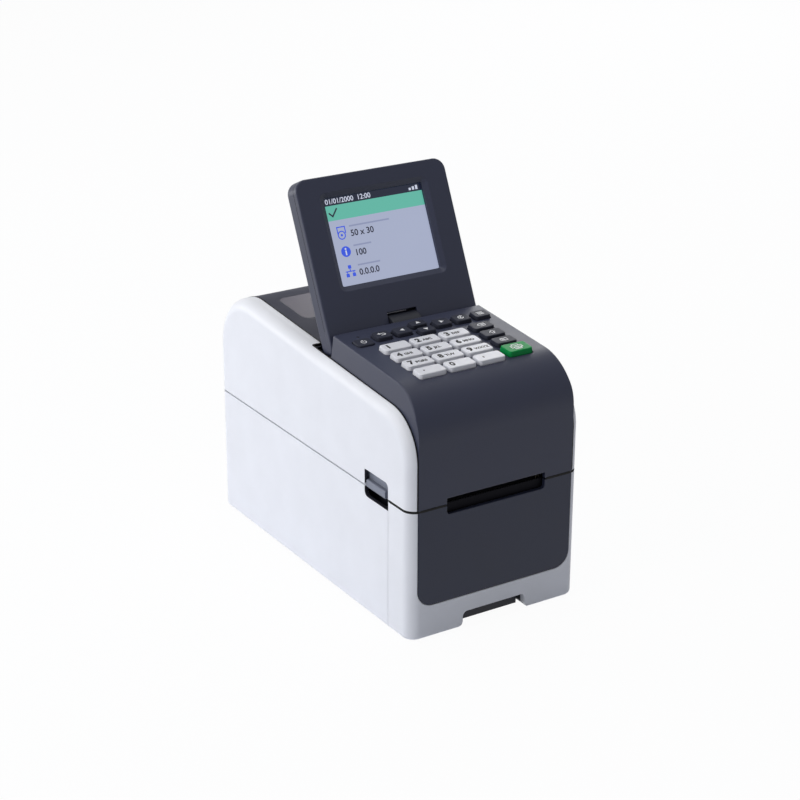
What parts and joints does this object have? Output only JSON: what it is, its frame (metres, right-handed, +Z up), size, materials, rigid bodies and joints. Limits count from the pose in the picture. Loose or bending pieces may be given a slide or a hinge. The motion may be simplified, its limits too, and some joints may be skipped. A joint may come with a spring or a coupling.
{
  "type": "label_maker",
  "caption": "Desktop label printer with a hinged top cover, a tilting colour display, a keypad on the cover, geared platen feed, sliding roll guides and sockets at the rear.",
  "frame": {"origin": "on the table under the middle of the body, at the bottom of the feet", "axes": "+X right seen from the front, +Y to the rear (the labels come out at -Y), +Z up"},
  "size_m": [0.11, 0.211, 0.2235],
  "materials": {
    "white_plastic": "fine texture, white",
    "dark_plastic": "fine texture, charcoal",
    "black_plastic": "moulded, black",
    "steel": "brushed",
    "rubber": "matt rubber",
    "black_steel": "blackened",
    "bush_plastic": "moulded, natural",
    "circuit_board": "solder mask, green",
    "brass": "cut",
    "gear_plastic": "moulded, natural",
    "smoked_window": "clear, smoked",
    "ceramic_head": "ground",
    "aluminium": "extruded",
    "latch_grey": "fine texture, mid grey",
    "screen": "backlit display",
    "dark_key": "soft-touch keys, charcoal",
    "white_key": "satin keys, white",
    "green_key": "satin key, green"
  },
  "bodies": {
    "base": {"lower_case": "white_plastic", "front_bezel": "white_plastic", "front_panel": "dark_plastic", "tear_bar": "black_steel", "rubber_feet": "rubber", "base_screws": "steel", "media_tray": "black_plastic", "mech_frame": "steel", "drive_motor": "steel", "platen_bushes": "bush_plastic", "main_board": "circuit_board", "dc_jack": "black_plastic", "data_ports": "steel"},
    "cover": {"cover_frame": "white_plastic", "cover_hinge_pins": "steel", "console_housing": "dark_plastic", "keypad_board": "circuit_board", "rear_panel": "dark_plastic", "smoked_window": "smoked_window", "print_head": "ceramic_head", "head_bracket": "aluminium", "hinge_knuckle": "black_plastic"},
    "display": {"display_bezel": "dark_plastic", "display_back": "dark_plastic", "lcd_panel": "screen", "display_hinge_pin": "steel"},
    "latch": {"latch_lever": "latch_grey"},
    "guide_left": {"guide_left": "black_plastic"},
    "guide_right": {"guide_right": "black_plastic"},
    "guide_pinion": {"guide_pinion": "gear_plastic"},
    "sensor": {"media_sensor": "black_plastic"},
    "platen": {"platen_shaft": "steel", "platen_roller": "rubber", "platen_gear": "gear_plastic"},
    "idler": {"idler_gear": "gear_plastic"},
    "motor_pinion": {"motor_pinion": "brass"},
    "key_power": {"key_power": "dark_key"},
    "key_up": {"key_up": "dark_key"},
    "key_down": {"key_down": "dark_key"},
    "key_print": {"key_print": "green_key"},
    "key_back": {"key_back": "dark_key"},
    "key_left": {"key_left": "dark_key"},
    "key_right": {"key_right": "dark_key"},
    "key_feed": {"key_feed": "dark_key"},
    "key_menu": {"key_menu": "dark_key"},
    "key_erase": {"key_erase": "dark_key"},
    "key_shift": {"key_shift": "dark_key"},
    "key_paper": {"key_paper": "dark_key"},
    "key_1": {"key_1": "white_key"},
    "key_2": {"key_2": "white_key"},
    "key_3": {"key_3": "white_key"},
    "key_4": {"key_4": "white_key"},
    "key_5": {"key_5": "white_key"},
    "key_6": {"key_6": "white_key"},
    "key_7": {"key_7": "white_key"},
    "key_8": {"key_8": "white_key"},
    "key_9": {"key_9": "white_key"},
    "key_0": {"key_0": "white_key"},
    "key_point": {"key_point": "white_key"},
    "key_comma": {"key_comma": "white_key"}
  },
  "joints": [
    {"name": "cover_hinge", "type": "hinge", "parent": "base", "child": "cover", "pos_m": [0, 0.1, 0.0918], "axis": [-1, 0, 0], "range_deg": [0, 88]},
    {"name": "display_tilt", "type": "hinge", "parent": "cover", "child": "display", "pos_m": [0, -0.0098, 0.1382], "axis": [1, 0, 0], "range_deg": [-24, 16]},
    {"name": "latch_pull", "type": "hinge", "parent": "cover", "child": "latch", "pos_m": [0, -0.04, 0.096], "axis": [-1, 0, 0], "range_deg": [0, 7], "stiffness_Nm_per_rad": 1.5, "springref_deg": -2.86},
    {"name": "guide_left_slide", "type": "slide", "parent": "base", "child": "guide_left", "axis": [1, 0, 0], "range_m": [-0.0055, 0.016]},
    {"name": "guide_right_slide", "type": "slide", "parent": "base", "child": "guide_right", "axis": [-1, 0, 0], "range_m": [-0.0056, 0.0161]},
    {"name": "guide_pinion_spin", "type": "hinge", "parent": "base", "child": "guide_pinion", "pos_m": [0, 0.028, 0.03], "axis": [0, 0, 1], "range_deg": [-140, 140]},
    {"name": "sensor_slide", "type": "slide", "parent": "base", "child": "sensor", "axis": [1, 0, 0], "range_m": [-0.022, 0.022]},
    {"name": "platen_spin", "type": "hinge", "parent": "base", "child": "platen", "pos_m": [0, -0.09, 0.0696], "axis": [1, 0, 0], "continuous": true},
    {"name": "idler_spin", "type": "hinge", "parent": "base", "child": "idler", "pos_m": [0, -0.07394, 0.05176], "axis": [1, 0, 0], "continuous": true},
    {"name": "motor_spin", "type": "hinge", "parent": "base", "child": "motor_pinion", "pos_m": [0, -0.06173, 0.03721], "axis": [1, 0, 0], "continuous": true},
    {"name": "key_power_press", "type": "slide", "parent": "cover", "child": "key_power", "axis": [0, 0.075, -0.9972], "range_m": [0, 0.001], "stiffness_N_per_m": 400},
    {"name": "key_up_press", "type": "slide", "parent": "cover", "child": "key_up", "axis": [0, 0.075, -0.9972], "range_m": [0, 0.001], "stiffness_N_per_m": 400},
    {"name": "key_down_press", "type": "slide", "parent": "cover", "child": "key_down", "axis": [0, 0.075, -0.9972], "range_m": [0, 0.001], "stiffness_N_per_m": 400},
    {"name": "key_print_press", "type": "slide", "parent": "cover", "child": "key_print", "axis": [0, 0.075, -0.9972], "range_m": [0, 0.001], "stiffness_N_per_m": 400},
    {"name": "key_back_press", "type": "slide", "parent": "cover", "child": "key_back", "axis": [0, 0.075, -0.9972], "range_m": [0, 0.001], "stiffness_N_per_m": 400},
    {"name": "key_left_press", "type": "slide", "parent": "cover", "child": "key_left", "axis": [0, 0.075, -0.9972], "range_m": [0, 0.001], "stiffness_N_per_m": 400},
    {"name": "key_right_press", "type": "slide", "parent": "cover", "child": "key_right", "axis": [0, 0.075, -0.9972], "range_m": [0, 0.001], "stiffness_N_per_m": 400},
    {"name": "key_feed_press", "type": "slide", "parent": "cover", "child": "key_feed", "axis": [0, 0.075, -0.9972], "range_m": [0, 0.001], "stiffness_N_per_m": 400},
    {"name": "key_menu_press", "type": "slide", "parent": "cover", "child": "key_menu", "axis": [0, 0.075, -0.9972], "range_m": [0, 0.001], "stiffness_N_per_m": 400},
    {"name": "key_erase_press", "type": "slide", "parent": "cover", "child": "key_erase", "axis": [0, 0.075, -0.9972], "range_m": [0, 0.001], "stiffness_N_per_m": 400},
    {"name": "key_shift_press", "type": "slide", "parent": "cover", "child": "key_shift", "axis": [0, 0.075, -0.9972], "range_m": [0, 0.001], "stiffness_N_per_m": 400},
    {"name": "key_paper_press", "type": "slide", "parent": "cover", "child": "key_paper", "axis": [0, 0.075, -0.9972], "range_m": [0, 0.001], "stiffness_N_per_m": 400},
    {"name": "key_1_press", "type": "slide", "parent": "cover", "child": "key_1", "axis": [0, 0.075, -0.9972], "range_m": [0, 0.001], "stiffness_N_per_m": 400},
    {"name": "key_2_press", "type": "slide", "parent": "cover", "child": "key_2", "axis": [0, 0.075, -0.9972], "range_m": [0, 0.001], "stiffness_N_per_m": 400},
    {"name": "key_3_press", "type": "slide", "parent": "cover", "child": "key_3", "axis": [0, 0.075, -0.9972], "range_m": [0, 0.001], "stiffness_N_per_m": 400},
    {"name": "key_4_press", "type": "slide", "parent": "cover", "child": "key_4", "axis": [0, 0.075, -0.9972], "range_m": [0, 0.001], "stiffness_N_per_m": 400},
    {"name": "key_5_press", "type": "slide", "parent": "cover", "child": "key_5", "axis": [0, 0.075, -0.9972], "range_m": [0, 0.001], "stiffness_N_per_m": 400},
    {"name": "key_6_press", "type": "slide", "parent": "cover", "child": "key_6", "axis": [0, 0.075, -0.9972], "range_m": [0, 0.001], "stiffness_N_per_m": 400},
    {"name": "key_7_press", "type": "slide", "parent": "cover", "child": "key_7", "axis": [0, 0.075, -0.9972], "range_m": [0, 0.001], "stiffness_N_per_m": 400},
    {"name": "key_8_press", "type": "slide", "parent": "cover", "child": "key_8", "axis": [0, 0.075, -0.9972], "range_m": [0, 0.001], "stiffness_N_per_m": 400},
    {"name": "key_9_press", "type": "slide", "parent": "cover", "child": "key_9", "axis": [0, 0.075, -0.9972], "range_m": [0, 0.001], "stiffness_N_per_m": 400},
    {"name": "key_0_press", "type": "slide", "parent": "cover", "child": "key_0", "axis": [0, 0.075, -0.9972], "range_m": [0, 0.001], "stiffness_N_per_m": 400},
    {"name": "key_point_press", "type": "slide", "parent": "cover", "child": "key_point", "axis": [0, 0.075, -0.9972], "range_m": [0, 0.001], "stiffness_N_per_m": 400},
    {"name": "key_comma_press", "type": "slide", "parent": "cover", "child": "key_comma", "axis": [0, 0.075, -0.9972], "range_m": [0, 0.001], "stiffness_N_per_m": 400}
  ],
  "couplings": [
    {"joint": "guide_right_slide", "follows": "guide_left_slide", "ratio": 1},
    {"joint": "guide_pinion_spin", "follows": "guide_left_slide", "rad_per_m": 142.86},
    {"joint": "idler_spin", "follows": "platen_spin", "ratio": -0.84615},
    {"joint": "motor_spin", "follows": "platen_spin", "ratio": 1.8333}
  ]
}
